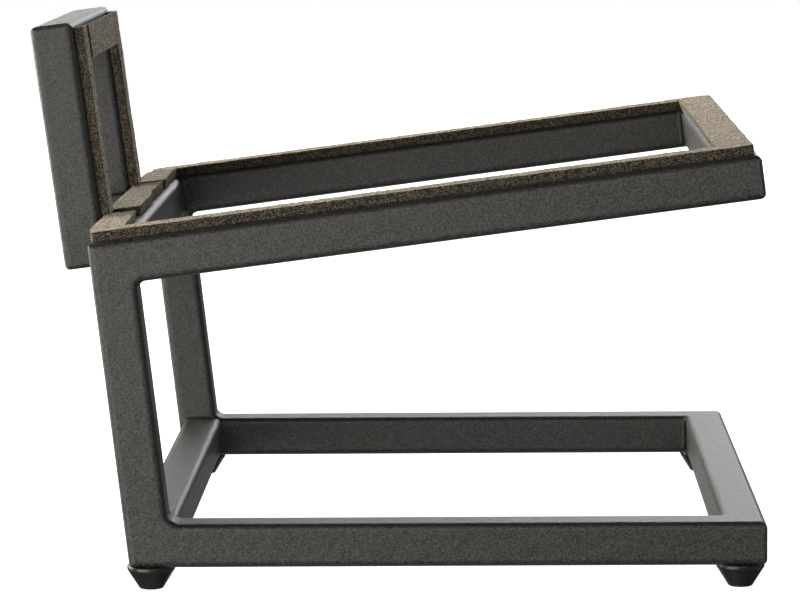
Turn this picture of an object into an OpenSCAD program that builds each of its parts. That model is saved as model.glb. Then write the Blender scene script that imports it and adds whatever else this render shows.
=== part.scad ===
// Tilted floor stand for a box loudspeaker: welded square steel tube, foam tape and rubber feet.
// Seen from the listener's seat the raised front is +X, the right side is -Y and up is +Z.
// The origin lies on the floor, under the middle of the whole stand.

/* [Steel tube] */
// Outer size of the square tube
tube = 25; // [22:1:30]
// Wall thickness of the tube
tube_wall = 2; // [1.5:0.25:2.5]
// Radius of the tube's outer corners
tube_r = 4; // [2.5:0.25:5]
// Radius of the tube's inner corners
tube_bore_r = 2; // [0.5:0.25:3]
// Radius to which the mitred outer corners of the sides and the backrest are ground
ground_r = 3; // [1.5:0.25:4]
// Radius to which the mitred corners at the front are ground
front_ground_r = 2; // [1:0.25:4]

/* [Base] */
// Length of the base along the floor
base_l = 362; // [320:1:440]
// Width of the whole frame
frame_w = 400; // [360:1:480]
// Lean of the legs from upright, in degrees
leg_lean = 6.3; // [3:0.1:9]
// How far the base's rear tube is set in from the rail ends
base_rear_set_in = 0.8; // [0.4:0.2:3]

/* [Platform] */
// Height of the platform's rear lower edge over the underside of the base
platform_rise = 160.5; // [120:0.5:240]
// Length of the platform along its slope
platform_l = 381.7; // [350:0.1:430]
// Tilt of the platform from level, in degrees
platform_tilt = 7.2; // [5:0.1:10]
// How far the platform's rear tube stands out behind the legs
platform_rear_proud = 1.4; // [0.4:0.2:3]

/* [Backrest] */
// Width of the backrest ring
backrest_w = 207; // [160:1:240]
// Height of the backrest ring
backrest_h = 144.3; // [110:0.1:200]
// Height of its lower edge over the platform's lower edge
backrest_lift = 1.7; // [0.5:0.1:4]

/* [Foam tape] */
// Width of the tape
tape_w = 20.5; // [16:0.5:21]
// Thickness of the tape
tape_t = 6; // [4:0.5:8]
// Distance of the tape from the outer face of its tube
tape_inset = 3.9; // [3:0.1:5]
// Distance of the side strips from the rear end of the platform
side_strip_rear_inset = 3.4; // [2:0.1:6]
// Distance of the side strips from the front end of the platform
side_strip_front_inset = 3.5; // [2:0.1:6]
// Width of the tape across the front
front_tape_w = 22; // [18:0.5:22]
// Length of the right one of the two front pieces
front_right_piece_l = 191; // [120:1:240]
// Slit between the two front pieces
front_seam = 0.4; // [0.2:0.1:2]
// Length of the right rear piece, from the side strip
rear_right_piece_l = 85; // [60:1:95]
// Length of the middle rear piece
rear_middle_piece_l = 156; // [120:1:160]
// Distance of the middle rear piece from the right side of the backrest
rear_middle_inset = 37.2; // [22:0.1:60]
// Gap between the middle and the left rear piece
rear_left_gap = 10; // [4:1:20]
// Distance of the rear pieces from the rear face of their tube
rear_tape_inset = 1.7; // [1:0.1:4]
// Slit between strips that meet at a corner
tape_slit = 0.3; // [0.2:0.1:1]
// Distance of the backrest tape from the top of the ring
backrest_tape_top_inset = 3.5; // [2:0.1:6]
// Gap between the right upright strip and the top strip
backrest_tape_gap = 10; // [1:0.5:20]

/* [Welds] */
// Radius of the ground fillets inside the C of each side
leg_weld_r = 6.5; // [4:0.5:9]
// Radius of the small fillets in the other inside corners
corner_weld_r = 3; // [2:0.25:5]
// Thickness of a fillet at its toes
weld_toe = 0.4; // [0.3:0.1:0.8]
// Radius of the beads in the open grooves
bead_r = 2; // [1.5:0.25:2.5]

/* [Feet] */
// Diameter of the foot's rim
foot_d = 27.5; // [24:0.5:32]
// Height of the foot
foot_h = 13.5; // [12:0.5:20]
// Height of the straight rim
foot_rim_h = 2.3; // [1.5:0.1:4]
// Diameter at which the cone would meet the floor
foot_tip_d = 13.6; // [13.2:0.1:18]
// Radius of the rounded tip
foot_tip_r = 2.5; // [1.5:0.1:2.8]
// Distance of the right rear foot's middle from the rear end of the base
foot_rear_right_inset = 11.6; // [11:0.1:16]
// Distance of the left rear foot's middle from the rear end of the base
foot_rear_left_inset = 13.8; // [11:0.1:16]
// Distance of the front feet's middle from the front end of the base
foot_front_inset = 14.5; // [12:0.1:30]
// Thickness of rubber between the screw's washer and the tube
foot_seat_t = 7; // [5:0.5:8]

/* [Fasteners] */
// Diameter of the foot screw's thread
screw_d = 4; // [3:0.5:4]
// Length of the foot screw under its head
screw_l = 16; // [14:1:18]
// Diameter of the screw's head
screw_head_d = 7; // [6.5:0.1:7.8]
// Height of the screw's head
screw_head_h = 2.6; // [2:0.1:2.8]
// Width across the flats of the socket in the head
socket_w = 2.5; // [2:0.5:3]
// Depth of the socket
socket_h = 1.3; // [1:0.1:1.6]
// Outer diameter of the washer
washer_d = 8; // [7.8:0.1:8.2]
// Thickness of the washer
washer_t = 1; // [0.5:0.1:1.4]
// Diameter of the threaded insert's body
insert_d = 6; // [5.5:0.25:7]
// Length of the insert above the outside of the tube
insert_l = 9.5; // [8:0.5:11]
// Diameter of the insert's flange
insert_flange_d = 9; // [8.5:0.25:10]
// Thickness of the insert's flange
insert_flange_t = 0.8; // [0.6:0.1:1]
// Diameter of the insert's crimped bulge
insert_bulge_d = 8.4; // [7.6:0.1:9]
// Height of the crimped bulge
insert_bulge_h = 2; // [1.5:0.25:3]

/* [Hidden] */
// Clearance round screws, washers and inserts
fit_gap = 0.1;
// How far cutting shapes run past what they cut
overrun = 8;
// How far the mitre cuts run past the tube, as a share of the mitre's length
mitre_run_share = 0.6;
// How deep weld metal fills the groove beside a rounded edge, as a share of the edge's radius
groove_share = 0.8;
// How far weld metal stays clear of a rounded edge's tangent, so that it has no feather edge
feather = 0.1;
// Radius of the unfilled root that such a weld leaves along the inside corner
weld_root_r = 0.5;
// Smoothness of round shapes
round_fn = 48;
steel = [0.27, 0.27, 0.26];
foam = [0.45, 0.40, 0.34];
rubber = [0.12, 0.12, 0.12];
zinc = [0.75, 0.76, 0.78];

// Tilt of the platform against the legs
corner_turn = platform_tilt - leg_lean;
half_w = frame_w/2;
inner_w = frame_w - 2*tube;
// Directions in the side view, as [x, z]
along_floor = [1, 0];
up_leg = [-sin(leg_lean), cos(leg_lean)];
up_slope = [cos(platform_tilt), sin(platform_tilt)];
off_slope = [-sin(platform_tilt), cos(platform_tilt)];
// Corners of the C in the side view: heel at the floor, neck at the platform
heel_out = [0, 0];
heel_in = [tube/cos(leg_lean) - tube*tan(leg_lean), tube];
neck_start = [-tan(leg_lean)*platform_rise, platform_rise];
neck_out = neck_start + up_leg*tube/cos(corner_turn);
neck_in = neck_start + up_slope*tube/cos(corner_turn);
// The platform's own frame: u runs up the slope from the legs' rear face, w stands off the slope
neck_out_uw = [tube*tan(corner_turn), tube];
neck_in_uw = [tube/cos(corner_turn), 0];
backrest_front_u = -platform_rear_proud;
backrest_top_w = backrest_lift + backrest_h;
backrest_side = (frame_w - backrest_w)/2;
// The stand reaches rearmost at the rounded upper rear edge of the backrest, and foremost at the
// base or at the rounded lower front edge of the platform
backrest_edge_uw = [backrest_front_u - tube + tube_r, backrest_top_w - tube_r];
platform_edge_uw = [platform_l - tube_r, tube_r];
rear_x = slope_point(backrest_edge_uw)[0] - tube_r;
front_x = max(base_l, slope_point(platform_edge_uw)[0] + tube_r);
middle_x = (rear_x + front_x)/2;
// Tape
tape_inner = tape_inset + tape_w;
strip_l = platform_l - side_strip_rear_inset - side_strip_front_inset;
rear_tape_u = backrest_front_u + rear_tape_inset;
front_tape_u = platform_l - side_strip_front_inset - front_tape_w;
cross_tape_start = tape_inner + tape_slit;
cross_tape_l = frame_w - 2*cross_tape_start;
front_left_piece_l = cross_tape_l - front_right_piece_l - front_seam;
rear_middle_start = backrest_side + rear_middle_inset;
rear_left_start = rear_middle_start + rear_middle_piece_l + rear_left_gap;
rear_left_piece_l = frame_w - cross_tape_start - rear_left_start;
backrest_tape_low_w = tube + tape_t + tape_slit;
backrest_tape_top_w = backrest_top_w - backrest_tape_top_inset;
top_tape_start = backrest_side + tape_inner + backrest_tape_gap;
top_tape_l = frame_w - backrest_side - tape_inner - tape_slit - top_tape_start;
// Feet
foot_front_x = base_l - foot_front_inset;
foot_places = [
    [foot_rear_right_inset, 0], [foot_front_x, 0], [foot_rear_left_inset, 1], [foot_front_x, 1]
];
foot_cone = unit([foot_d/2 - foot_tip_d/2, foot_h - foot_rim_h]);
foot_bore_d = screw_d + 4*fit_gap;
foot_well_d = washer_d + 2*fit_gap;
foot_seat_z = foot_h - foot_seat_t;
washer_z = foot_seat_z - washer_t;
insert_bore_d = screw_d + fit_gap;
insert_hole_d = insert_d + fit_gap;
insert_recess_d = insert_flange_d + 4*fit_gap;
insert_recess_h = insert_flange_t + fit_gap;

function length2(v) = sqrt(v[0]*v[0] + v[1]*v[1]);
function unit(v) = v/length2(v);
function turn_between(a, b) = acos(a*b);
// A point of the platform's own frame in the side view
function slope_point(uw) = neck_start + up_slope*uw[0] + off_slope*uw[1];

// Places the side view's x and z, with the rail's outer face at y = 0, on the right side of the stand
module on_right() { translate([-middle_x, -half_w, foot_h]) children(); }
module on_left() { mirror([0, 1, 0]) on_right() children(); }
module on_both() {
    on_right() children();
    on_left() children();
}
// Places the platform's own frame in the side view
module on_slope() {
    translate([neck_start[0], 0, neck_start[1]]) rotate([0, -platform_tilt, 0]) children();
}

module tube_outline(size, r) {
    union() {
        translate([r, 0]) square([size - 2*r, size]);
        translate([0, r]) square([size, size - 2*r]);
        for (x = [r, size - r]) for (y = [r, size - r]) translate([x, y]) circle(r, $fn = round_fn);
    }
}
// A solid bar and a tube along +X, in y and z from 0 to the tube's size
module bar(run) { rotate([90, 0, 90]) linear_extrude(run) tube_outline(tube, tube_r); }
module hollow_bar(run) {
    rotate([90, 0, 90]) linear_extrude(run) difference() {
        tube_outline(tube, tube_r);
        translate([tube_wall, tube_wall]) tube_outline(tube - 2*tube_wall, tube_bore_r);
    }
}
module tube_or_bar(run, solid) {
    if (solid) {
        bar(run);
    } else {
        hollow_bar(run);
    }
}
// A prism over an outline in the side view, across one tube or across a given width
module side_prism(wide = tube + 2*overrun, start = -overrun) {
    translate([0, start + wide, 0]) rotate([90, 0, 0]) linear_extrude(wide) children();
}
module plan_prism() { translate([0, 0, -overrun]) linear_extrude(tube + 2*overrun) children(); }

// The waste outside a rounded outer corner at a, whose two faces run along d1 and d2
module corner_waste(a, d1, d2, r) {
    open = turn_between(d1, d2);
    c = a + (d1 + d2)*r/sin(open);
    t1 = a + d1*r/tan(open/2);
    t2 = a + d2*r/tan(open/2);
    difference() {
        polygon([c, t1 + (t1 - c)*overrun/r, a - (c - a)*overrun/r, t2 + (t2 - c)*overrun/r]);
        translate(c) circle(r, $fn = round_fn);
    }
}
// The hollow fillet inside a corner at a, whose two faces run along d1 and d2
module corner_fillet(a, d1, d2, r) {
    open = turn_between(d1, d2);
    c = a + (d1 + d2)*(r + weld_toe)/sin(open);
    reach = (r + weld_toe)/tan(open/2);
    difference() {
        polygon([a, a + d1*reach, c, a + d2*reach]);
        translate(c) circle(r, $fn = round_fn);
    }
}
// The same fillet over the whole width of a tube, wrapped round the tube's rounded edges
module wrapped_fillet(a, d1, d2, r) {
    open = turn_between(d1, d2);
    c = a + (d1 + d2)*(r + weld_toe)/sin(open);
    k = a - (d1 + d2)*tube_r/sin(open);
    reach = (r + weld_toe + tube_r)/tan(open/2);
    difference() {
        side_prism(tube - 2*feather, feather) polygon([k, k + d1*reach, c, k + d2*reach]);
        translate([c[0], 0, c[1]]) rotate([-90, 0, 0]) fillet_spool(r);
        translate([a[0], tube_r - weld_root_r, a[1]]) rotate([-90, 0, 0]) {
            cylinder(r = weld_root_r, h = tube - 2*tube_r + 2*weld_root_r, $fn = round_fn);
        }
    }
}
module fillet_spool(r) {
    rotate_extrude($fn = 2*round_fn) difference() {
        translate([0, -overrun]) square([r + tube_r, tube + 2*overrun]);
        for (y = [tube_r, tube - tube_r]) translate([r + tube_r, y]) circle(tube_r, $fn = round_fn);
        translate([r, tube_r]) square([2*tube_r, tube - 2*tube_r]);
    }
}

// Mitre line from the outer corner a to the inner corner b, run past the tube
function mitre_low(a, b) = a - (b - a)*mitre_run_share;
function mitre_high(a, b) = b + (b - a)*mitre_run_share;

module base_rail_bar(solid) {
    translate([-tube, 0, 0]) tube_or_bar(base_l + tube, solid);
}
module leg_bar(solid) {
    run = platform_rise + 3*tube;
    rotate([0, -leg_lean, 0]) translate([tube, 0, -tube]) rotate([0, -90, 0]) tube_or_bar(run, solid);
}
module platform_rail_bar(solid) {
    on_slope() translate([-tube, 0, 0]) tube_or_bar(platform_l + tube, solid);
}
module front_mitre(run) {
    plan_prism() polygon([
        [-overrun - tube, -overrun], [run + overrun, -overrun],
        [run - tube - overrun, tube + overrun], [-overrun - tube, tube + overrun]
    ]);
}
module ground_front_corner(run) {
    plan_prism() corner_waste([run, 0], [-1, 0], [0, 1], front_ground_r);
}
module ground_heel() { side_prism() corner_waste(heel_out, along_floor, up_leg, ground_r); }
module ground_neck() { side_prism() corner_waste(neck_out, up_slope, -up_leg, ground_r); }

// The three tubes of a side frame between their mitres, hollow or as a solid for cutting the welds
module base_rail_shape(solid = false) {
    low = mitre_low(heel_out, heel_in);
    high = mitre_high(heel_out, heel_in);
    intersection() {
        base_rail_bar(solid);
        side_prism() polygon([low, high, [base_l + overrun, high[1]], [base_l + overrun, low[1]]]);
        front_mitre(base_l);
    }
}
module leg_shape(solid = false) {
    intersection() {
        leg_bar(solid);
        side_prism() polygon([
            mitre_low(heel_out, heel_in), mitre_high(heel_out, heel_in),
            mitre_high(neck_out, neck_in), mitre_low(neck_out, neck_in)
        ]);
    }
}
module platform_rail_shape(solid = false) {
    high = mitre_low(neck_out_uw, neck_in_uw);
    low = mitre_high(neck_out_uw, neck_in_uw);
    intersection() {
        platform_rail_bar(solid);
        on_slope() side_prism() {
            polygon([low, high, [platform_l + overrun, high[1]], [platform_l + overrun, low[1]]]);
        }
        on_slope() front_mitre(platform_l);
    }
}
// The hole for a foot's threaded insert, in the lower wall; the front one crosses the mitre
module insert_hole(x) {
    translate([x, tube/2, -overrun]) {
        cylinder(d = insert_hole_d, h = overrun + tube_wall + fit_gap, $fn = round_fn);
    }
}
module base_rail(rear_foot_x) {
    difference() {
        base_rail_shape();
        ground_heel();
        ground_front_corner(base_l);
        insert_hole(rear_foot_x);
        insert_hole(foot_front_x);
    }
}
module leg() {
    difference() {
        leg_shape();
        ground_heel();
        ground_neck();
    }
}
module platform_rail() {
    difference() {
        platform_rail_shape();
        ground_neck();
        on_slope() ground_front_corner(platform_l);
    }
}
// A tube across the front, mitred into the rails at both ends; run is the rail's length
module front_cross(run) {
    difference() {
        intersection() {
            translate([run, 0, 0]) rotate([0, 0, 90]) hollow_bar(frame_w);
            plan_prism() polygon([
                [run + overrun, -overrun], [run - tube - overrun, tube + overrun],
                [run - tube - overrun, frame_w - tube - overrun], [run + overrun, frame_w + overrun]
            ]);
        }
        ground_front_corner(run);
        translate([0, frame_w, 0]) mirror([0, 1, 0]) ground_front_corner(run);
    }
}
// A tube butted between the two side frames, with its rear face at x = 0
module rear_cross() { translate([tube, tube, 0]) rotate([0, 0, 90]) hollow_bar(inner_w); }

// The backrest ring in the plane of its own front face: x runs across the stand, y up the ring
module ring_place() {
    on_slope() translate([backrest_front_u, backrest_side, backrest_lift]) {
        rotate([90, 0, 90]) mirror([0, 0, 1]) children();
    }
}
module ring_mitre(points) { translate([0, 0, -overrun]) linear_extrude(tube + 2*overrun) polygon(points); }
module ring_corner_waste() {
    for (x = [0, backrest_w]) for (y = [0, backrest_h]) {
        out = [x == 0 ? 1 : -1, 0];
        rise = [0, y == 0 ? 1 : -1];
        translate([0, 0, -overrun]) linear_extrude(tube + 2*overrun) {
            corner_waste([x, y], out, rise, ground_r);
        }
    }
}
module ring_side() {
    difference() {
        intersection() {
            translate([tube, 0, 0]) rotate([0, 0, 90]) hollow_bar(backrest_h);
            ring_mitre([
                [-overrun, -overrun], [tube + overrun, tube + overrun],
                [tube + overrun, backrest_h - tube - overrun], [-overrun, backrest_h + overrun]
            ]);
        }
        ring_corner_waste();
    }
}
module ring_end() {
    difference() {
        intersection() {
            hollow_bar(backrest_w);
            ring_mitre([
                [-overrun, -overrun], [backrest_w + overrun, -overrun],
                [backrest_w - tube - overrun, tube + overrun], [tube + overrun, tube + overrun]
            ]);
        }
        ring_corner_waste();
    }
}

// Foam tape lying on the platform: rear edge u, right edge y, length up the slope and across
module tape_on_slope(u, y, long, wide) {
    color(foam) on_right() on_slope() translate([u, y, tube]) cube([long, wide, tape_t]);
}
module tape_on_backrest(y, w, wide, tall) {
    color(foam) on_right() on_slope() translate([backrest_front_u, y, w]) cube([tape_t, wide, tall]);
}

module foot(place) {
    color(rubber) at_foot(place) difference() {
        rotate_extrude($fn = 2*round_fn) difference() {
            polygon([
                [0, 0], [foot_tip_d/2, 0], [foot_d/2, foot_h - foot_rim_h],
                [foot_d/2, foot_h], [0, foot_h]
            ]);
            corner_waste([foot_tip_d/2, 0], [-1, 0], foot_cone, foot_tip_r);
        }
        translate([0, 0, -overrun]) cylinder(d = foot_bore_d, h = foot_h + 2*overrun, $fn = round_fn);
        translate([0, 0, -overrun]) cylinder(d = foot_well_d, h = overrun + foot_seat_z, $fn = round_fn);
        translate([0, 0, foot_h - insert_recess_h]) {
            cylinder(d = insert_recess_d, h = overrun, $fn = round_fn);
        }
    }
}
// Puts a piece on the floor under a foot's place, which is [x from the rear end, side]
module at_foot(place) {
    mirror([0, place[1], 0]) translate([place[0] - middle_x, tube/2 - half_w, 0]) children();
}
// The screw's head bears on the washer, and the washer on the step in the foot's well
module foot_screw() {
    translate([0, 0, washer_z]) difference() {
        union() {
            cylinder(d = screw_d, h = screw_l, $fn = round_fn);
            translate([0, 0, -screw_head_h]) cylinder(d = screw_head_d, h = screw_head_h, $fn = round_fn);
        }
        translate([0, 0, -screw_head_h - overrun]) {
            cylinder(d = socket_w/cos(180/6), h = overrun + socket_h, $fn = 6);
        }
    }
}
module foot_washer() {
    translate([0, 0, washer_z]) difference() {
        cylinder(d = washer_d, h = washer_t, $fn = round_fn);
        translate([0, 0, -overrun]) {
            cylinder(d = screw_d + 2*fit_gap, h = 2*overrun, $fn = round_fn);
        }
    }
}
module foot_insert() {
    translate([0, 0, foot_h]) difference() {
        union() {
            translate([0, 0, -insert_flange_t]) {
                cylinder(d = insert_flange_d, h = insert_flange_t, $fn = round_fn);
            }
            cylinder(d = insert_d, h = insert_l, $fn = round_fn);
            translate([0, 0, tube_wall]) {
                cylinder(d = insert_bulge_d, h = insert_bulge_h, $fn = round_fn);
            }
        }
        translate([0, 0, -overrun]) {
            cylinder(d = insert_bore_d, h = insert_l + 2*overrun, $fn = round_fn);
        }
    }
}

module base_rail_right() { color(steel) on_right() base_rail(foot_rear_right_inset); }
module base_rail_left() { color(steel) on_left() base_rail(foot_rear_left_inset); }
module base_cross_front() {
    color(steel) on_right() difference() {
        front_cross(base_l);
        insert_hole(foot_front_x);
        translate([0, frame_w, 0]) mirror([0, 1, 0]) insert_hole(foot_front_x);
    }
}
module base_cross_rear() { color(steel) on_right() translate([base_rear_set_in, 0, 0]) rear_cross(); }
module leg_right() { color(steel) on_right() leg(); }
module leg_left() { color(steel) on_left() leg(); }
module platform_rail_right() { color(steel) on_right() platform_rail(); }
module platform_rail_left() { color(steel) on_left() platform_rail(); }
module platform_cross_front() { color(steel) on_right() on_slope() front_cross(platform_l); }
module platform_cross_rear() {
    color(steel) on_right() on_slope() translate([-platform_rear_proud, 0, 0]) rear_cross();
}
module backrest_upright_right() { color(steel) on_right() ring_place() ring_side(); }
module backrest_upright_left() {
    color(steel) on_right() ring_place() translate([backrest_w, 0, 0]) mirror([1, 0, 0]) ring_side();
}
module backrest_bottom_tube() { color(steel) on_right() ring_place() ring_end(); }
module backrest_top_tube() {
    color(steel) on_right() ring_place() translate([0, backrest_h, 0]) mirror([0, 1, 0]) ring_end();
}

module side_frame_solid() {
    base_rail_shape(true);
    leg_shape(true);
    platform_rail_shape(true);
}
// Fillets inside the C of both side frames, ground smooth with the tubes
module side_frame_welds() {
    color(steel) on_both() difference() {
        union() {
            wrapped_fillet(heel_in, along_floor, up_leg, leg_weld_r);
            wrapped_fillet(neck_in, up_slope, -up_leg, leg_weld_r);
        }
        base_rail_bar(true);
        leg_bar(true);
        platform_rail_bar(true);
    }
}
// A small upright fillet on the flat part of two tubes that meet at a corner in plan
module upright_fillet(a, d1, d2) {
    translate([0, 0, tube_r]) linear_extrude(tube - 2*tube_r) corner_fillet(a, d1, d2, corner_weld_r);
}
module front_fillet(run) { upright_fillet([run - tube, tube], [-1, 0], [0, 1]); }
module rear_fillet(x) { upright_fillet([x + tube, tube], [1, 0], [0, 1]); }
// Weld metal that fills the groove between a butted rear tube and the rounded edges of the side frame
module groove_fill(x) {
    depth = tube_r*groove_share;
    translate([x + tube, tube - depth, 0]) rotate([0, 0, 90]) bar(depth);
}
module base_welds() {
    color(steel) on_both() {
        front_fillet(base_l);
        rear_fillet(base_rear_set_in);
        difference() {
            groove_fill(base_rear_set_in);
            translate([0, feather, 0]) side_frame_solid();
        }
    }
}
module platform_welds() {
    color(steel) on_both() {
        on_slope() front_fillet(platform_l);
        on_slope() rear_fillet(-platform_rear_proud);
        difference() {
            on_slope() groove_fill(-platform_rear_proud);
            translate([0, feather, 0]) side_frame_solid();
        }
    }
}
module rear_cross_solid() {
    on_slope() translate([tube - platform_rear_proud, tube, 0]) rotate([0, 0, 90]) bar(inner_w);
}
module upright_solid() {
    ring_place() translate([tube, 0, 0]) rotate([0, 0, 90]) bar(backrest_h);
}
module backrest_welds() {
    color(steel) on_both() {
        ring_place() for (top = [0, 1]) {
            translate([0, top*backrest_h, 0]) mirror([0, top, 0]) {
                upright_fillet([tube, tube], [1, 0], [0, 1]);
            }
        }
        difference() {
            union() {
                on_slope() translate([backrest_front_u, backrest_side + tube_r, tube - tube_r]) {
                    cube([tube_r*groove_share, tube - 2*tube_r, tube_r]);
                }
                on_slope() translate([backrest_front_u, backrest_side + tube_r, backrest_lift + bead_r/2]) {
                    rotate([-90, 0, 0]) cylinder(r = bead_r, h = tube - 2*tube_r, $fn = round_fn);
                }
            }
            rear_cross_solid();
            upright_solid();
        }
    }
}

module side_strip() { tape_on_slope(side_strip_rear_inset, tape_inset, strip_l, tape_w); }
module side_strip_right() { side_strip(); }
module side_strip_left() { mirror([0, 1, 0]) side_strip(); }
module front_strip_right() {
    tape_on_slope(front_tape_u, cross_tape_start, front_tape_w, front_right_piece_l);
}
module front_strip_left() {
    start = cross_tape_start + front_right_piece_l + front_seam;
    tape_on_slope(front_tape_u, start, front_tape_w, front_left_piece_l);
}
module rear_strip_right() { tape_on_slope(rear_tape_u, cross_tape_start, tape_w, rear_right_piece_l); }
module rear_strip_middle() { tape_on_slope(rear_tape_u, rear_middle_start, tape_w, rear_middle_piece_l); }
module rear_strip_left() { tape_on_slope(rear_tape_u, rear_left_start, tape_w, rear_left_piece_l); }
module upright_strip(y) {
    tape_on_backrest(y, backrest_tape_low_w, tape_w, backrest_tape_top_w - backrest_tape_low_w);
}
module backrest_strip_right() { upright_strip(backrest_side + tape_inset); }
module backrest_strip_left() { upright_strip(frame_w - backrest_side - tape_inner); }
module backrest_strip_top() {
    tape_on_backrest(top_tape_start, backrest_tape_top_w - tape_w, top_tape_l, tape_w);
}

module foot_rear_right() { foot(foot_places[0]); }
module foot_front_right() { foot(foot_places[1]); }
module foot_rear_left() { foot(foot_places[2]); }
module foot_front_left() { foot(foot_places[3]); }
module foot_washers() { color(zinc) for (place = foot_places) at_foot(place) foot_washer(); }
module foot_screws() { color(zinc) for (place = foot_places) at_foot(place) foot_screw(); }
module foot_inserts() { color(zinc) for (place = foot_places) at_foot(place) foot_insert(); }

base_rail_right();
base_rail_left();
base_cross_front();
base_cross_rear();
leg_right();
leg_left();
platform_rail_right();
platform_rail_left();
platform_cross_front();
platform_cross_rear();
backrest_upright_right();
backrest_upright_left();
backrest_top_tube();
backrest_bottom_tube();
side_frame_welds();
base_welds();
platform_welds();
backrest_welds();
side_strip_right();
side_strip_left();
front_strip_right();
front_strip_left();
rear_strip_right();
rear_strip_middle();
rear_strip_left();
backrest_strip_right();
backrest_strip_left();
backrest_strip_top();
foot_rear_right();
foot_front_right();
foot_rear_left();
foot_front_left();
foot_washers();
foot_screws();
foot_inserts();
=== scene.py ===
import math

import bmesh
import bpy
from mathutils import Matrix, Vector, noise


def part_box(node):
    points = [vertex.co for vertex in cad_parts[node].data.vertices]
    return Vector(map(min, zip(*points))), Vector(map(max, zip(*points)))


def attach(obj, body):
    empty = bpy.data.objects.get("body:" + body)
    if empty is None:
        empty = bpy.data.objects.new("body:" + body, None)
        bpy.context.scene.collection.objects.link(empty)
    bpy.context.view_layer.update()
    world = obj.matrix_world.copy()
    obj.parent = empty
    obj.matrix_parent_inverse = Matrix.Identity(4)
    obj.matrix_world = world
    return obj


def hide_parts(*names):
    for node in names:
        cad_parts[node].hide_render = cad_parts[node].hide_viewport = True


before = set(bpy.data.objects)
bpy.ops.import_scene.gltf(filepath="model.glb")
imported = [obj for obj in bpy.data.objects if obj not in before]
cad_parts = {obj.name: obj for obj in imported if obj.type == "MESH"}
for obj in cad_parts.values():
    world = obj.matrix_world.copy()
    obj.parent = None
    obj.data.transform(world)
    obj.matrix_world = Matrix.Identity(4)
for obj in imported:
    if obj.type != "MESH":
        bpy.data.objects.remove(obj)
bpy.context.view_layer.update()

# Camera
# A long lens at knee height, a little above the platform, looks square at the stand's right side.
# Its place and turn come from the photograph's perspective, at 800 by 600 pixels.
lens_mm = 161.66
camera_place = Vector((0.0522, -2.2, 0.4248))
yaw, pitch, roll = (math.radians(angle) for angle in (-1.343, 7.359, -0.532))
ahead = Vector((math.sin(yaw) * math.cos(pitch), math.cos(yaw) * math.cos(pitch), -math.sin(pitch)))
level = Vector((math.cos(yaw), -math.sin(yaw), 0))
right = level * math.cos(roll) + level.cross(ahead) * math.sin(roll)
up = right.cross(ahead)
camera_data = bpy.data.cameras.new("camera")
camera_data.lens = lens_mm
camera_data.sensor_width = 36
camera_data.clip_end = 100
camera = bpy.data.objects.new("camera", camera_data)
bpy.context.scene.collection.objects.link(camera)
axes = Matrix((right, up, -ahead)).transposed()
camera.matrix_world = Matrix.Translation(camera_place) @ axes.to_4x4()
bpy.context.scene.camera = camera


# Frame tubes
# Fourteen lengths of 25 mm square mild steel tube, cut, mitred and welded, then powder coated in
# one go. Base, legs and platform come first and the backrest ring is welded on behind.
def linear(hex_colour):
    """An sRGB colour such as 'a0b0c0' as linear red, green, blue and alpha."""
    parts = [int(hex_colour[i:i + 2], 16) / 255 for i in (0, 2, 4)]
    return [p / 12.92 if p <= 0.04045 else ((p + 0.055) / 1.055) ** 2.4 for p in parts] + [1]


def add(tree, kind, settings=None, **links):
    """A node of that kind, with its settings, and its inputs set to values or linked to sockets.

    An input goes by its name, with _ for a space, or by its number, as i0 or i1."""
    made = tree.nodes.new("ShaderNode" + kind)
    for name, value in (settings or {}).items():
        setattr(made, name, value)
    for name, value in links.items():
        found = made.inputs[int(name[1:])] if name[0] == "i" and name[1:].isdigit() else None
        found = found or made.inputs[name.replace("_", " ")]
        if isinstance(value, bpy.types.NodeSocket):
            tree.links.new(value, found)
        else:
            found.default_value = value
    return made


def new_material(name):
    made = bpy.data.materials.new(name)
    made.use_nodes = True
    made.node_tree.nodes.clear()
    return made, made.node_tree


def per_metre(size_mm):
    """The scale of a pattern whose features repeat every size_mm, for coordinates in metres."""
    return 1000 / size_mm


def dress(piece, material):
    piece.data.materials.clear()
    piece.data.materials.append(material)


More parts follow.
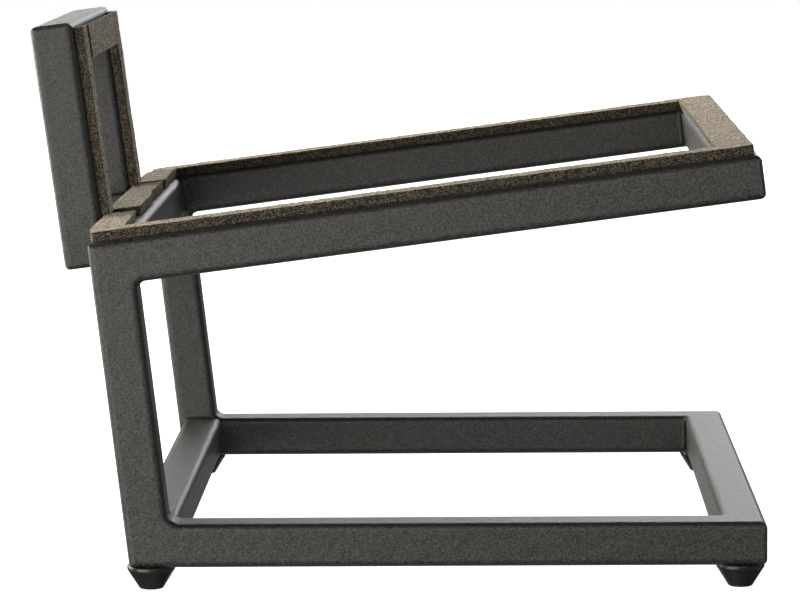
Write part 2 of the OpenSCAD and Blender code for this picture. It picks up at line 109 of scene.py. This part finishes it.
# Fine-textured polyester powder coat: the grit scatters light, so faces look soft and speckled and
# only shallow angles shine. The real grit is too fine to show, so its grains are drawn 0.6 mm apart, on
# a skin with orange peel of 2 to 3 mm and slow waves of 7 mm. Along the tubes' rounded edges the colour
# is darkened as painted shade, for the dark that those edges catch.
def powder_coat():
    made, tree = new_material("textured_powder_coat_charcoal")
    place = add(tree, "TexCoord").outputs["Object"]
    grains = add(tree, "TexVoronoi", {"feature": "F1"}, Vector=place, Scale=per_metre(0.6))
    grit = add(tree, "TexNoise", Vector=place, Scale=per_metre(0.7), Detail=2.0, Roughness=0.6)
    peel = add(tree, "TexNoise", Vector=place, Scale=per_metre(2.4), Detail=1.0)
    clouds = add(tree, "TexNoise", Vector=place, Scale=per_metre(40), Detail=3.0)
    flow = add(tree, "TexNoise", Vector=place, Scale=per_metre(7), Detail=3.0)
    tone = add(tree, "MixRGB", {"blend_type": "MIX"}, Fac=clouds.outputs["Fac"],
               Color1=linear("1b1b1a"), Color2=linear("252524"))
    chance = add(tree, "SeparateColor", Color=grains.outputs["Color"])
    fleck = add(tree, "MapRange", Value=chance.outputs["Red"], From_Min=0.1, From_Max=0.9,
                To_Min=0.0, To_Max=1.0)
    colour = add(tree, "MixRGB", {"blend_type": "MIX"}, Fac=fleck.outputs["Result"],
                 Color1=tone.outputs["Color"], Color2=linear("4f4f4c"))
    # A rounded edge is where the skin looks more than about 26 degrees away from all three axes
    facing = add(tree, "NewGeometry").outputs["Normal"]
    square = add(tree, "VectorMath", {"operation": "ABSOLUTE"}, i0=facing)
    parts = add(tree, "SeparateXYZ", Vector=square.outputs["Vector"])
    most = add(tree, "Math", {"operation": "MAXIMUM"}, i0=parts.outputs["X"], i1=parts.outputs["Y"])
    flat = add(tree, "Math", {"operation": "MAXIMUM"}, i0=most.outputs["Value"], i1=parts.outputs["Z"])
    edge = add(tree, "MapRange", Value=flat.outputs["Value"], From_Min=0.9, From_Max=0.75,
               To_Min=0.0, To_Max=0.6)
    # Painted shade: the rounded edges are mixed toward near black
    edge_shaded = add(tree, "MixRGB", {"blend_type": "MIX"}, Fac=edge.outputs["Result"],
               Color1=colour.outputs["Color"], Color2=linear("161615"))
    rough = add(tree, "MapRange", Value=grit.outputs["Fac"], From_Min=0.3, From_Max=0.7,
                To_Min=0.38, To_Max=0.52)
    waves = add(tree, "Bump", Strength=0.5, Distance=0.0008, Height=flow.outputs["Fac"])
    skin = add(tree, "Bump", Strength=0.4, Distance=0.0003, Height=peel.outputs["Fac"],
               Normal=waves.outputs["Normal"])
    bump = add(tree, "Bump", Strength=0.6, Distance=0.0003, Height=grit.outputs["Fac"],
               Normal=skin.outputs["Normal"])
    shader = add(tree, "BsdfPrincipled", Base_Color=edge_shaded.outputs["Color"],
                 Roughness=rough.outputs["Result"], Normal=bump.outputs["Normal"], IOR=1.5)
    add(tree, "OutputMaterial", Surface=shader.outputs["BSDF"])
    return made


charcoal = powder_coat()
tubes = [
    "base_rail_right", "base_rail_left", "base_cross_front", "base_cross_rear",
    "leg_right", "leg_left",
    "platform_rail_right", "platform_rail_left", "platform_cross_front", "platform_cross_rear",
    "backrest_upright_right", "backrest_upright_left", "backrest_top_tube", "backrest_bottom_tube",
]
for name in tubes:
    dress(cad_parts[name], charcoal)

# Welds
# Fillets and beads of weld metal in the inside corners, ground by hand and coated with the tubes.
# They run smoothly into the flat faces and wrap round the tubes' rounded edges.
tube = 0.025
tube_r = 0.004
base_l = 0.362
frame_w = 0.4
platform_l = 0.3817
platform_rise = 0.1605
foot_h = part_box("base_rail_right")[0].z
rail_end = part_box("base_rail_right")[1].x - base_l
leg_lean = math.radians(6.3)
platform_tilt = math.radians(7.2)
across = Vector((0, 1, 0))
upward = Vector((0, 0, 1))
forward = Vector((1, 0, 0))
up_leg = Vector((-math.sin(leg_lean), 0, math.cos(leg_lean)))
off_leg = Vector((math.cos(leg_lean), 0, math.sin(leg_lean)))
up_slope = Vector((math.cos(platform_tilt), 0, math.sin(platform_tilt)))
off_slope = Vector((-math.sin(platform_tilt), 0, math.cos(platform_tilt)))
rail_start = Vector((rail_end, -frame_w / 2, foot_h))
slope_start = rail_start + upward * platform_rise - forward * platform_rise * math.tan(leg_lean)


def meet(place, way, other, other_normal):
    """Where the line from place along way meets the plane through other."""
    return place + way * ((other - place).dot(other_normal) / way.dot(other_normal))


def close_with_sharp_corners(mesh):
    """Turns all faces outward, and shades them smoothly but for corners of 35 degrees and more."""
    sharp = math.radians(35)
    bmesh.ops.recalc_face_normals(mesh, faces=mesh.faces)
    for face in mesh.faces:
        face.smooth = True
    for edge in mesh.edges:
        edge.smooth = edge.calc_face_angle(0) < sharp


def weld_fillet(mesh, corner, way_1, way_2, run, width, radius):
    """A hollow fillet in the corner between two faces, over a width along run.

    Its toes sink just under the faces, its back lies inside the tubes, and its ends follow the tubes'
    rounded edges. The grinder left it slightly rough."""
    sunk = 0.000012
    behind = 0.001
    rough = 0.00012
    lumps_per_metre = 350
    pits_per_metre = 900
    station_gap = 0.0015
    end_inset = 0.00003
    arc_steps = 14
    edge_steps = 8
    opening = way_1.angle(way_2)
    centre = corner + (way_1 + way_2) * radius / math.sin(opening)
    to_1 = (corner + way_1 * radius / math.tan(opening / 2) - centre).normalized()
    to_2 = (corner + way_2 * radius / math.tan(opening / 2) - centre).normalized()
    arc = math.pi - opening
    bends = [math.pi / 2 * k / edge_steps for k in range(edge_steps + 1)]
    stations = [(tube_r * (1 - math.cos(b)), tube_r * (1 - math.sin(b))) for b in bends]
    flats = max(2, round((width - 2 * tube_r) / station_gap))
    stations += [(tube_r + (width - 2 * tube_r) * k / flats, 0) for k in range(1, flats)]
    stations += [(width - along, drop) for along, drop in reversed(stations[:edge_steps + 1])]
    rows = []
    for along, drop in stations:
        row = []
        for k in range(arc_steps + 1):
            share = k / arc_steps
            way = (to_1 * math.sin((1 - share) * arc) + to_2 * math.sin(share * arc)) / math.sin(arc)
            place = centre + run * along + way * (radius + drop + sunk)
            lump = noise.noise(place * lumps_per_metre) + 0.5 * noise.noise(place * pits_per_metre)
            row.append(mesh.verts.new(place - way * rough * lump * math.sin(math.pi * share)))
        inset = min(max(along, end_inset), width - end_inset)
        back = corner + run * inset - (way_1 + way_2) * (drop + behind) / math.sin(opening)
        row.append(mesh.verts.new(back))
        rows.append(row)
    around = arc_steps + 2
    for one, two in zip(rows, rows[1:]):
        for k in range(around):
            m = (k + 1) % around
            mesh.faces.new([one[k], one[m], two[m], two[k]])
    for row in (rows[0], rows[-1]):
        for k in range(arc_steps):
            mesh.faces.new([row[k], row[k + 1], row[-1]])


def weld_bead(mesh, start, end, radius):
    """A lumpy bead from start to end, with rounded ends and a ripple for each dab of the torch."""
    ripple_gap = 0.0022
    ripple_share = 0.1
    lumps_per_metre = 450
    lump_share = 0.25
    ring_gap = 0.0006
    sides = 16
    run = end - start
    side = run.orthogonal().normalized()
    other = run.normalized().cross(side)
    rings = max(8, round(run.length / ring_gap))
    loops = []
    for n in range(rings + 1):
        share = n / rings
        full = max(0.02, math.sqrt(1 - abs(2 * share - 1) ** 5))
        full *= 1 + ripple_share * math.sin(2 * math.pi * run.length * share / ripple_gap)
        loop = []
        for k in range(sides):
            turn = 2 * math.pi * k / sides
            spoke = (side * math.cos(turn) + other * math.sin(turn)) * radius * full
            place = start + run * share + spoke
            lump = noise.noise(place * lumps_per_metre)
            loop.append(mesh.verts.new(place + spoke * lump_share * lump))
        loops.append(loop)
    for one, two in zip(loops, loops[1:]):
        for k in range(sides):
            m = (k + 1) % sides
            mesh.faces.new([one[k], one[m], two[m], two[k]])
    mesh.faces.new(loops[0])
    mesh.faces.new(loops[-1])


def finish_welds(mesh, node, right_only=()):
    """Repeats the welds on the stand's left side, adds the fillets that only the right side has, and
    puts them all in the node's place."""
    copy = bmesh.ops.duplicate(mesh, geom=mesh.verts[:] + mesh.edges[:] + mesh.faces[:])
    for vert in [g for g in copy["geom"] if isinstance(g, bmesh.types.BMVert)]:
        vert.co.y = -vert.co.y
    for fillet in right_only:
        weld_fillet(mesh, *fillet)
    close_with_sharp_corners(mesh)
    data = bpy.data.meshes.new(node + "_ground")
    mesh.to_mesh(data)
    mesh.free()
    piece = bpy.data.objects.new(node + "_ground", data)
    bpy.context.scene.collection.objects.link(piece)
    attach(piece, "root")
    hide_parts(node)
    dress(piece, charcoal)


# The two large fillets inside the C of each side frame. The lower one on the right has had more metal
# laid over it.
leg_weld_r = 0.0065
full_weld_r = 0.009
leg_face = rail_start + off_leg * tube
heel = meet(rail_start + upward * tube, forward, leg_face, off_leg)
neck = meet(slope_start, up_slope, leg_face, off_leg)
side_welds = bmesh.new()
weld_fillet(side_welds, heel, forward, up_leg, across, tube, leg_weld_r)
weld_fillet(side_welds, neck, up_slope, -up_leg, across, tube, leg_weld_r)
finish_welds(side_welds, "side_frame_welds", [(heel, forward, up_leg, across, tube, full_weld_r)])

# Small upright fillets where the base's cross tubes meet the rails, and one along the foot of each
# leg's inner face, on top of the rear cross tube
corner_r = 0.0022
leg_foot_r = 0.0025
cross_set_in = 0.0008
inner = rail_start + across * tube
base_welds = bmesh.new()
weld_fillet(base_welds, inner + forward * (base_l - tube), -forward, across, upward, tube, corner_r)
rear_corner = inner + forward * (tube + cross_set_in)
weld_fillet(base_welds, rear_corner, forward, across, upward, tube, corner_r)
leg_foot = inner + forward * cross_set_in + upward * tube
foot_run = heel.x - leg_foot.x
weld_fillet(base_welds, leg_foot, across, upward, forward, foot_run, leg_foot_r)
finish_welds(base_welds, "base_welds")

# The same on the platform, whose cross tubes lie in the slope. The rear one stands out behind the legs.
rear_proud = 0.0014
inner_slope = slope_start + across * tube
front_corner = inner_slope + up_slope * (platform_l - tube)
rear_corner = inner_slope + up_slope * (tube - rear_proud)
platform_welds = bmesh.new()
weld_fillet(platform_welds, front_corner, -up_slope, across, off_slope, tube, corner_r)
weld_fillet(platform_welds, rear_corner, up_slope, across, off_slope, tube, corner_r)
finish_welds(platform_welds, "platform_welds")

# Fillets in the ring's own corners, and two beads across the foot of each upright: one in the groove
# at the top of the rear cross tube, a little sunk, and one at the ring's lower edge
backrest_w = 0.207
backrest_h = 0.1443
backrest_lift = 0.0017
bead_r = 0.002
bead_sunk = 0.0004
ring_side = slope_start + across * (frame_w - backrest_w) / 2
ring_foot = ring_side - up_slope * rear_proud + off_slope * backrest_lift
ring_inside = ring_foot + across * tube
low_corner = ring_inside + off_slope * tube
high_corner = ring_inside + off_slope * (backrest_h - tube)
backrest_welds = bmesh.new()
weld_fillet(backrest_welds, low_corner, across, off_slope, -up_slope, tube, corner_r)
weld_fillet(backrest_welds, high_corner, across, -off_slope, -up_slope, tube, corner_r)
for height in (tube - backrest_lift - bead_sunk, bead_r / 2):
    bead_line = ring_foot + off_slope * height
    weld_bead(backrest_welds, bead_line + across * tube_r, bead_line + across * (tube - tube_r), bead_r)
finish_welds(backrest_welds, "backrest_welds")


# Foam tape
# Strips of open-cell polyurethane foam, 6 mm thick, cut from a 20 mm roll by hand and stuck down.
# They lie on the platform's four tubes and on the front of the backrest.
foam_step = 0.0011
foam_corner = 0.0005
tape_slit = 0.00028
undercut = 0.0015
slope = Matrix.Rotation(-platform_tilt, 3, "Y")
# Open pores, and the knife's short and long wander: spacing in millimetres, height in metres
pore_mm = 0.83
pore_depth = 0.0004
nick_mm = 6
nick_depth = 0.00015
sway_mm = 28
sway_depth = 0.0002
sway_lowered = 0.0001


def local_box(node):
    """A strip's corners along the slope, across it and off it."""
    places = [slope.transposed() @ v.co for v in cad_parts[node].data.vertices]
    low = Vector([min(p[i] for p in places) for i in range(3)])
    high = Vector([max(p[i] for p in places) for i in range(3)])
    return low, high


def along_table(table, share):
    """The value at that share of the way through a table of (share, value)."""
    for (low, first), (high, second) in zip(table, table[1:]):
        if share <= high:
            part = (share - low) / (high - low)
            return first + (second - first) * part * part * (3 - 2 * part)
    return table[-1][1]


def foam_strip(node, off, touching=0, edges=None, trimmed=0):
    """A closed, slightly ragged block in the node's place. Its long sides lean, so that it is narrower
    where it is stuck down.

    off is the axis that points off the steel, 2 on the platform and 0 on the backrest. touching says
    which end across the stand, -1 or 1, meets the next strip. edges gives how far the hand cut wanders
    along the rear and along the front edge, from right to left, as (share of the way, metres). trimmed
    is the radius of the outer front corner."""
    low, high = local_box(node)
    run = max(range(3), key=lambda i: high[i] - low[i])
    if touching < 0:
        low[1] -= tape_slit
    if touching > 0:
        high[1] += tape_slit
    counts = [max(3, round((high[i] - low[i]) / foam_step)) for i in range(3)]
    mesh = bmesh.new()
    grid = {}

    def vertex(key):
        if key in grid:
            return grid[key]
        share = [key[a] / counts[a] for a in range(3)]
        flat = Vector([low[a] + (high[a] - low[a]) * share[a] for a in range(3)])
        core = Vector([min(max(flat[a], low[a] + foam_corner), high[a] - foam_corner) for a in range(3)])
        out = flat - core
        glued = flat[off] - low[off] < foam_corner
        seat = flat.copy()
        if out.length > 0:
            out.normalize()
            if not glued:
                seat = core + out * foam_corner
            place = flat * 1000
            deep = noise.noise(place / pore_mm) * pore_depth + noise.noise(place / nick_mm) * nick_depth
            deep += noise.noise(place / sway_mm) * sway_depth - sway_lowered
            push = out * deep
            if glued:
                push[off] = 0
            seat += push
        foot = undercut * (1 - share[off])
        for a in range(3):
            if a not in (off, run):
                seat[a] += foot * (1 - 2 * share[a])
        if edges:
            rear, front = (along_table(table, share[1]) for table in edges)
            seat.x += rear * (1 - share[0]) + front * share[0]
        reach = [seat[a] - (high[a] - trimmed) for a in (0, 1)]
        if trimmed and min(reach) > 0:
            shrink = max(reach) / math.hypot(*reach)
            for a in (0, 1):
                seat[a] = high[a] - trimmed + reach[a] * shrink
        grid[key] = mesh.verts.new(slope @ seat)
        return grid[key]

    for axis in range(3):
        a, b = [i for i in range(3) if i != axis]
        for end in (0, counts[axis]):
            for p in range(counts[a]):
                for q in range(counts[b]):
                    corners = []
                    for dp, dq in ((0, 0), (1, 0), (1, 1), (0, 1)):
                        key = [0, 0, 0]
                        key[axis], key[a], key[b] = end, p + dp, q + dq
                        corners.append(vertex(tuple(key)))
                    mesh.faces.new(corners)
    bmesh.ops.recalc_face_normals(mesh, faces=mesh.faces)
    for face in mesh.faces:
        face.smooth = True
    name = node.replace("strip", "foam")
    data = bpy.data.meshes.new(name)
    mesh.to_mesh(data)
    mesh.free()
    piece = bpy.data.objects.new(name, data)
    bpy.context.scene.collection.objects.link(piece)
    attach(piece, "root")
    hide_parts(node)
    return piece


# Taupe open-cell foam. Looked at squarely its pores, 0.5 to 1 mm wide, are dark. Along the surface only
# the lit tips of the cell walls show, which the sheen gives, and they clump to specks of 1 to 2 mm.
# The face toward bearing, the way that it faces, is painted paler, as painted light; the other faces
# keep the pores' dark colour. The two pieces at the rear are less pale and have less sheen.
def open_cell_foam(name, bearing, lit_colour, sheen=0.9):
    made, tree = new_material(name)
    place = add(tree, "TexCoord").outputs["Object"]
    cells = add(tree, "TexVoronoi", {"feature": "F1"}, Vector=place, Scale=per_metre(0.5))
    pick = add(tree, "SeparateColor", Color=cells.outputs["Color"])
    fine = add(tree, "TexNoise", Vector=place, Scale=per_metre(0.7), Detail=2.0)
    clumps = add(tree, "TexNoise", Vector=place, Scale=per_metre(1.5), Detail=3.0, Roughness=0.7)
    clouds = add(tree, "TexNoise", Vector=place, Scale=per_metre(12), Detail=2.0)
    facing = add(tree, "NewGeometry").outputs["Normal"]
    # Painted light: the faces toward bearing are mixed to the paler lit colour
    turned = add(tree, "VectorMath", {"operation": "DOT_PRODUCT"}, i0=facing, i1=bearing)
    lit_face = add(tree, "MapRange", Value=turned.outputs["Value"], From_Min=0.55, From_Max=0.9,
                 To_Min=0.0, To_Max=1.0)
    dark = add(tree, "MixRGB", {"blend_type": "MIX"}, Fac=clouds.outputs["Fac"],
               Color1=linear("15120e"), Color2=linear("1f1b14"))
    tip = add(tree, "MapRange", Value=pick.outputs["Red"], From_Min=0.45, From_Max=0.95,
              To_Min=0.0, To_Max=1.0)
    cut = add(tree, "MixRGB", {"blend_type": "MIX"}, Fac=tip.outputs["Result"],
              Color1=dark.outputs["Color"], Color2=linear("7a6f5d"))
    speck = add(tree, "MapRange", Value=clumps.outputs["Fac"], From_Min=0.43, From_Max=0.57,
                To_Min=0.0, To_Max=1.0)
    top = add(tree, "MixRGB", {"blend_type": "MIX"}, Fac=speck.outputs["Result"],
              Color1=linear("2b251c"), Color2=linear(lit_colour))
    colour = add(tree, "MixRGB", {"blend_type": "MIX"}, Fac=lit_face.outputs["Result"],
                 Color1=cut.outputs["Color"], Color2=top.outputs["Color"])
    shine = add(tree, "MapRange", Value=clumps.outputs["Fac"], From_Min=0.43, From_Max=0.57,
                To_Min=sheen / 3, To_Max=sheen)
    height = add(tree, "Math", {"operation": "ADD"}, i0=clumps.outputs["Fac"], i1=fine.outputs["Fac"])
    bump = add(tree, "Bump", Strength=0.8, Distance=0.0004, Height=height.outputs["Value"])
    shader = add(tree, "BsdfPrincipled", Base_Color=colour.outputs["Color"], Roughness=0.95,
                 Sheen_Weight=shine.outputs["Result"], Sheen_Roughness=0.35, Sheen_Tint=linear("fff2dc"),
                 Normal=bump.outputs["Normal"], IOR=1.5)
    add(tree, "OutputMaterial", Surface=shader.outputs["BSDF"])
    return made


platform_foam = open_cell_foam("open_cell_foam_taupe", off_slope, "8f8472")
# The two rear pieces get a darker lit colour and less sheen
darker_rear_foam = open_cell_foam("open_cell_foam_taupe_darker_rear", off_slope, "6c6354", 0.55)
backrest_foam = open_cell_foam("open_cell_foam_taupe_upright", up_slope, "cfc1aa")
straight = [(0, 0), (1, 0)]
platform_strips = [
    foam_strip("side_strip_right", 2, edges=[[(0, 0), (0.3, -0.0004), (1, -0.0029)], straight]),
    foam_strip("side_strip_left", 2, trimmed=0.006),
    foam_strip("front_strip_right", 2, touching=-1, edges=[[(0, 0.0012), (1, 0.0012)], straight]),
    foam_strip("front_strip_left", 2, touching=1, edges=[[(0, 0.0012), (0.6, 0.001), (1, 0)], straight]),
    foam_strip("rear_strip_right", 2, touching=-1, edges=[straight, [(0, 0), (0.4, 0), (1, -0.0016)]]),
    foam_strip("rear_strip_middle", 2, edges=[
        [(0, 0), (0.35, -0.0013), (0.65, -0.0006), (1, -0.0003)],
        [(0, -0.0011), (0.25, -0.001), (0.42, -0.0004), (0.62, -0.003), (0.8, -0.0015), (1, -0.0013)],
    ]),
    foam_strip("rear_strip_left", 2, touching=1, edges=[
        [(0, 0.0002), (0.4, -0.0008), (1, 0)],
        [(0, -0.0005), (0.6, -0.001), (1, 0)],
    ]),
]
for strip in platform_strips:
    dress(strip, darker_rear_foam if strip.name in ("rear_foam_middle", "rear_foam_left") else platform_foam)
for strip in (
    foam_strip("backrest_strip_right", 0),
    foam_strip("backrest_strip_left", 0),
    foam_strip("backrest_strip_top", 0, touching=1),
):
    dress(strip, backrest_foam)


# Feet
# Moulded black rubber bumpers, one under each end of both base rails. Each is a short cone with a soft
# rim against the tube, and a well up the middle for its screw.
def rounded(profile, corners):
    """The profile's points, with an arc of the given radius put in at each numbered corner."""
    steps = 6
    points = []
    for n, point in enumerate(profile):
        here = Vector(point)
        if n not in corners:
            points.append(here)
            continue
        before = (Vector(profile[n - 1]) - here).normalized()
        after = (Vector(profile[(n + 1) % len(profile)]) - here).normalized()
        half = before.angle(after) / 2
        reach = corners[n] / math.tan(half)
        middle = here + (before + after).normalized() * corners[n] / math.sin(half)
        first = here + before * reach - middle
        last = here + after * reach - middle
        arc = first.angle(last)
        for k in range(steps + 1):
            share = k / steps
            way = (first * math.sin((1 - share) * arc) + last * math.sin(share * arc)) / math.sin(arc)
            points.append(middle + way)
    return points


rim_r = 0.01375
tip_r = 0.0068
rim_h = 0.0023
well_r = 0.0041
well_h = 0.0065
screw_hole_r = 0.0022
recess_r = 0.0047
recess_h = 0.0009
tip_rounding = 0.0012
rim_low_rounding = 0.0014
rim_high_rounding = 0.0006
# The half section as (radius, height), from the well's mouth outward and round
foot_profile = rounded([
    (well_r, 0), (tip_r, 0), (rim_r, foot_h - rim_h), (rim_r, foot_h), (recess_r, foot_h),
    (recess_r, foot_h - recess_h), (screw_hole_r, foot_h - recess_h), (screw_hole_r, well_h),
    (well_r, well_h),
], {1: tip_rounding, 2: rim_low_rounding, 3: rim_high_rounding})


def rubber_foot(node):
    """The foot's half section turned round its middle, with the slight unevenness of a worn mould."""
    sides = 96
    marks_per_metre = 160
    mark_depth = 0.00006
    low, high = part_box(node)
    middle = Vector(((low.x + high.x) / 2, (low.y + high.y) / 2, 0))
    mesh = bmesh.new()
    rings = []
    for n in range(sides):
        turn = 2 * math.pi * n / sides
        way = Vector((math.cos(turn), math.sin(turn), 0))
        ring = []
        for radius, height in foot_profile:
            place = middle + way * radius + upward * height
            mark = noise.noise(place * marks_per_metre) * mark_depth if radius > tip_r else 0
            ring.append(mesh.verts.new(place - way * abs(mark)))
        rings.append(ring)
    count = len(foot_profile)
    for n in range(sides):
        one, two = rings[n], rings[(n + 1) % sides]
        for k in range(count):
            m = (k + 1) % count
            mesh.faces.new([one[k], two[k], two[m], one[m]])
    close_with_sharp_corners(mesh)
    data = bpy.data.meshes.new(node + "_moulded")
    mesh.to_mesh(data)
    mesh.free()
    piece = bpy.data.objects.new(node + "_moulded", data)
    bpy.context.scene.collection.objects.link(piece)
    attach(piece, "root")
    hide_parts(node)
    return piece


# Black rubber with carbon filler, moulded: it is near black and half glossy, and handling has dulled it
# in smears. The mould's grain is too fine to show, so it is drawn 0.8 mm wide.
def moulded_rubber():
    made, tree = new_material("moulded_rubber_black")
    place = add(tree, "TexCoord").outputs["Object"]
    grain = add(tree, "TexNoise", Vector=place, Scale=per_metre(0.8), Detail=2.0)
    smears = add(tree, "TexNoise", Vector=place, Scale=per_metre(9), Detail=3.0)
    bump = add(tree, "Bump", Strength=0.2, Distance=0.0002, Height=grain.outputs["Fac"])
    colour = add(tree, "MixRGB", {"blend_type": "MIX"}, Fac=smears.outputs["Fac"],
                 Color1=linear("1f2220"), Color2=linear("2f3331"))
    rough = add(tree, "MapRange", Value=smears.outputs["Fac"], From_Min=0.3, From_Max=0.7,
                To_Min=0.26, To_Max=0.4)
    shader = add(tree, "BsdfPrincipled", Base_Color=colour.outputs["Color"],
                 Roughness=rough.outputs["Result"], Normal=bump.outputs["Normal"], IOR=1.52)
    add(tree, "OutputMaterial", Surface=shader.outputs["BSDF"])
    return made


rubber = moulded_rubber()
for name in ("foot_rear_right", "foot_front_right", "foot_rear_left", "foot_front_left"):
    dress(rubber_foot(name), rubber)


# Foot fastenings
# M4 screws, washers and threaded inserts of turned and pressed steel. A screw goes up each foot's well,
# through its washer, into an insert set in the base rail.
# They are zinc plated, which gives a pale blue-grey metal with a faint bloom, cloudy at 1 to 2 mm.
def zinc_plate():
    made, tree = new_material("zinc_plated_steel")
    place = add(tree, "TexCoord").outputs["Object"]
    marks = add(tree, "TexNoise", Vector=place, Scale=per_metre(1.5), Detail=3.0)
    colour = add(tree, "MixRGB", {"blend_type": "MIX"}, Fac=marks.outputs["Fac"],
                 Color1=linear("b4b7bb"), Color2=linear("d0d2d4"))
    rough = add(tree, "MapRange", Value=marks.outputs["Fac"], To_Min=0.25, To_Max=0.45)
    shader = add(tree, "BsdfPrincipled", Base_Color=colour.outputs["Color"], Metallic=1.0,
                 Roughness=rough.outputs["Result"])
    add(tree, "OutputMaterial", Surface=shader.outputs["BSDF"])
    return made


zinc = zinc_plate()
for name in ("foot_washers", "foot_screws", "foot_inserts"):
    dress(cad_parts[name], zinc)

# Floor
# A plain white sheet, far larger than the camera sees. It glows, so it stays white behind the stand,
# and only the close shade under the feet shows on it.
floor_reach = 60
floor_corners = [(floor_reach * x, floor_reach * y, 0) for x, y in ((-1, -1), (1, -1), (1, 1), (-1, 1))]
floor_mesh = bpy.data.meshes.new("floor")
floor_mesh.from_pydata(floor_corners, [], [(0, 1, 2, 3)])
floor = bpy.data.objects.new("floor", floor_mesh)
bpy.context.scene.collection.objects.link(floor)
pale, floor_tree = new_material("white_sheet")
matt = add(floor_tree, "BsdfDiffuse", Color=linear("d8d8d8"))
glow = add(floor_tree, "Emission", Color=linear("ffffff"), Strength=0.985)
both = add(floor_tree, "AddShader", i0=matt.outputs["BSDF"], i1=glow.outputs["Emission"])
add(floor_tree, "OutputMaterial", Surface=both.outputs["Shader"])
dress(floor, pale)
# It sends no light to the stand: the low boxes below stand for its glow
floor.visible_diffuse = False
floor.visible_glossy = False
floor.visible_shadow = False


# Light
# Soft boxes all round the stand, as seen from its middle: azimuth 0 is straight behind it and
# positive to the right. Strong low ones stand at the left and behind, weak ones in front.
stand_middle = Vector((0, 0, 0.15))


def soft_box(name, azimuth, elevation, wide, tall, distance, radiance, tint="ffffff"):
    """A soft box that spans wide by tall degrees at that distance. The higher it stands, the narrower it
    is for the same degrees of azimuth, down to a least share of its width."""
    least_share = 0.4
    turn, rise = math.radians(azimuth), math.radians(elevation)
    way = Vector((math.sin(turn) * math.cos(rise), math.cos(turn) * math.cos(rise), math.sin(rise)))
    data = bpy.data.lights.new(name, "AREA")
    data.shape = "RECTANGLE"
    data.size = 2 * distance * math.tan(math.radians(wide / 2)) * max(math.cos(rise), least_share)
    data.size_y = 2 * distance * math.tan(math.radians(tall / 2))
    data.energy = radiance * data.size * data.size_y * math.pi
    data.color = linear(tint)[:3]
    lamp = bpy.data.objects.new(name, data)
    bpy.context.scene.collection.objects.link(lamp)
    lamp.location = stand_middle + way * distance
    lamp.rotation_euler = (-way).to_track_quat("-Z", "Y").to_euler()
    lamp.visible_camera = False


soft_box("back_right_box", 14, 18, 20, 12, 3.5, 7.8)
soft_box("back_left_box", -8, 18, 22, 12, 3.5, 4.6)
soft_box("left_back_box", -50, 12, 20, 20, 2.6, 11.5)
soft_box("left_low_box", -75, 2, 22, 20, 2.2, 17.5, "fffaef")
soft_box("left_high_box", -75, 32, 26, 36, 2.2, 7.7, "fffbea")
soft_box("front_left_box", -135, -8, 30, 20, 1.7, 5.2)
soft_box("front_high_box", -160, 14, 22, 22, 1.9, 3.7, "fff9f0")
soft_box("front_low_box", -160, -8, 22, 20, 1.9, 3.7, "fff9f0")
soft_box("front_right_box", 165, 10, 24, 24, 2.0, 2.1)
soft_box("right_fill_box", 85, 20, 45, 40, 2.6, 0.6)
soft_box("floor_glow_near", 0, -30, 50, 26, 2.5, 0.6)
soft_box("floor_glow_far", -10, -10, 60, 10, 3.0, 0.48)
soft_box("floor_glow_right", 90, -28, 60, 26, 2.5, 0.35)
soft_box("floor_glow_under", 0, -70, 60, 40, 2.5, 0.7)
world = bpy.data.worlds.new("studio")
bpy.context.scene.world = world
world.use_nodes = True
world.node_tree.nodes["Background"].inputs["Color"].default_value = linear("ffffff")
world.node_tree.nodes["Background"].inputs["Strength"].default_value = 0.02
bpy.context.scene.view_settings.view_transform = "Standard"

bpy.context.view_layer.update()
